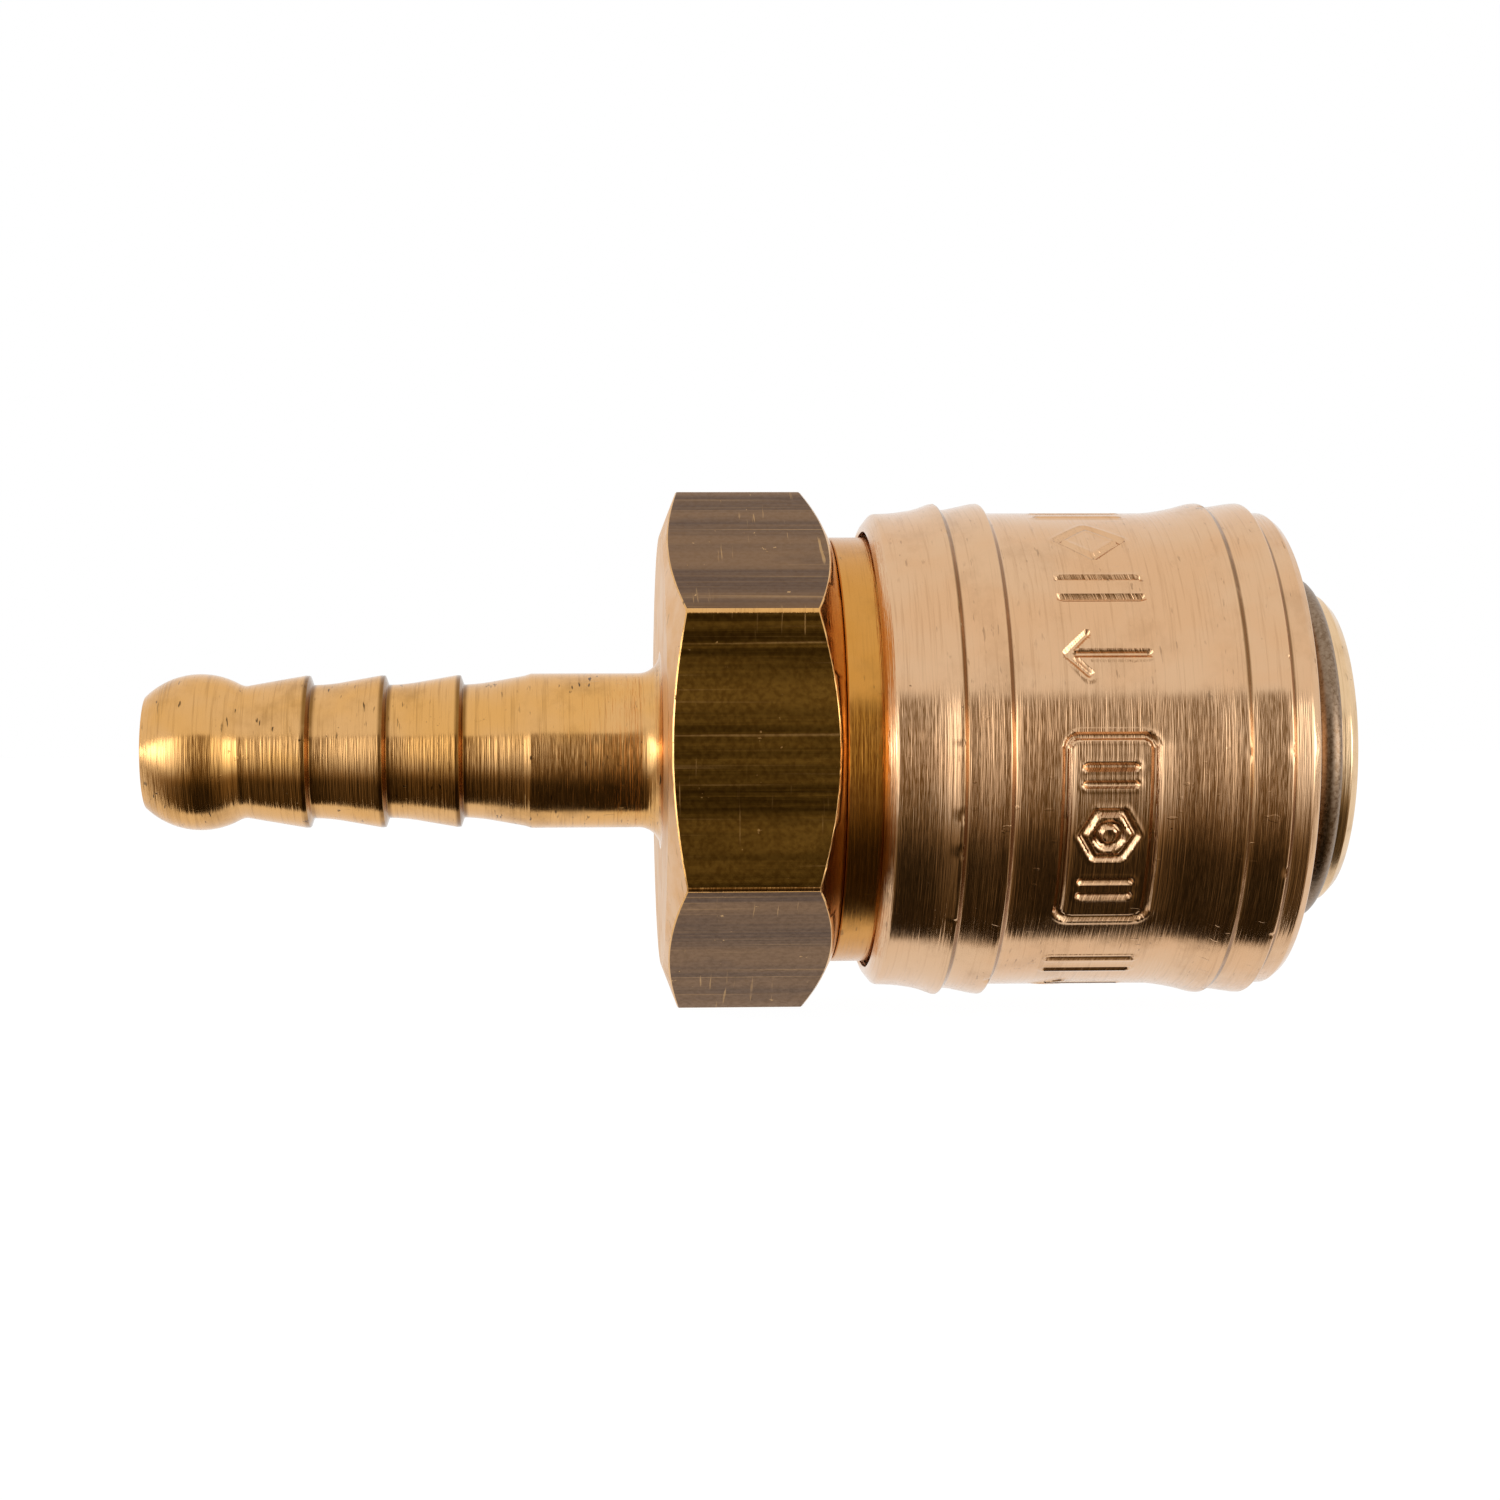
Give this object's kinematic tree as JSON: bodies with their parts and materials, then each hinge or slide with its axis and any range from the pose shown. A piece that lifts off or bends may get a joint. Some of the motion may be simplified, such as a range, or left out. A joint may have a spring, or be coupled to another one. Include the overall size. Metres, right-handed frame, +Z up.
{
  "type": "quick-release hose coupling",
  "caption": "Brass quick-release compressed-air coupling with a sliding ball-lock sleeve, a hexagon and a barbed hose tail.",
  "frame": {"origin": "on the axis, in the plane of the mouth that the plug goes into", "axes": "+X along the axis and out of the mouth, so the hose tail points to -X; +Z up; two flats of the hexagon face -Y and +Y"},
  "size_m": [0.0575, 0.024, 0.0254],
  "materials": {
    "tail_brass": "turned bright, with tarnished drawn flats on the hexagon",
    "body_brass": "turned bright",
    "sleeve_brass": "turned, with fine lathe lines and a stamped mark",
    "valve_brass": "turned",
    "ring_steel": "dark oiled spring wire",
    "spring_steel": "drawn stainless wire",
    "ball_steel": "polished",
    "nitrile_rubber": "matte moulded",
    "gasket_fibre": "pressed fibre"
  },
  "bodies": {
    "coupler": {"hose_tail": "tail_brass", "coupler_body": "body_brass", "snap_ring": "ring_steel", "body_gasket": "gasket_fibre", "plug_seal": "nitrile_rubber", "sleeve_spring": "spring_steel", "valve_spring": "spring_steel"},
    "sleeve": {"locking_sleeve": "sleeve_brass"},
    "ball_1": {"locking_ball_1": "ball_steel"},
    "ball_2": {"locking_ball_2": "ball_steel"},
    "ball_3": {"locking_ball_3": "ball_steel"},
    "ball_4": {"locking_ball_4": "ball_steel"},
    "valve": {"valve_poppet": "valve_brass", "valve_seal": "nitrile_rubber"}
  },
  "joints": [
    {"name": "sleeve_slide", "type": "slide", "parent": "coupler", "child": "sleeve", "axis": [-1, 0, 0], "range_m": [0, 0.0015], "stiffness_N_per_m": 4000, "springref_m": -0.003, "deforming": ["sleeve_spring"]},
    {"name": "ball_1_slide", "type": "slide", "parent": "coupler", "child": "ball_1", "axis": [-0.8448, 0.3783, 0.3783], "range_m": [0, 0.00178]},
    {"name": "ball_2_slide", "type": "slide", "parent": "coupler", "child": "ball_2", "axis": [-0.8448, -0.3783, 0.3783], "range_m": [0, 0.00178]},
    {"name": "ball_3_slide", "type": "slide", "parent": "coupler", "child": "ball_3", "axis": [-0.8448, -0.3783, -0.3783], "range_m": [0, 0.00178]},
    {"name": "ball_4_slide", "type": "slide", "parent": "coupler", "child": "ball_4", "axis": [-0.8448, 0.3783, -0.3783], "range_m": [0, 0.00178]},
    {"name": "valve_slide", "type": "slide", "parent": "coupler", "child": "valve", "axis": [-1, 0, 0], "range_m": [0, 0.0032], "stiffness_N_per_m": 600, "springref_m": -0.004, "deforming": ["valve_spring"]}
  ],
  "couplings": [
    {"joint": "ball_1_slide", "follows": "sleeve_slide", "ratio": 1.1837},
    {"joint": "ball_2_slide", "follows": "sleeve_slide", "ratio": 1.1837},
    {"joint": "ball_3_slide", "follows": "sleeve_slide", "ratio": 1.1837},
    {"joint": "ball_4_slide", "follows": "sleeve_slide", "ratio": 1.1837}
  ]
}
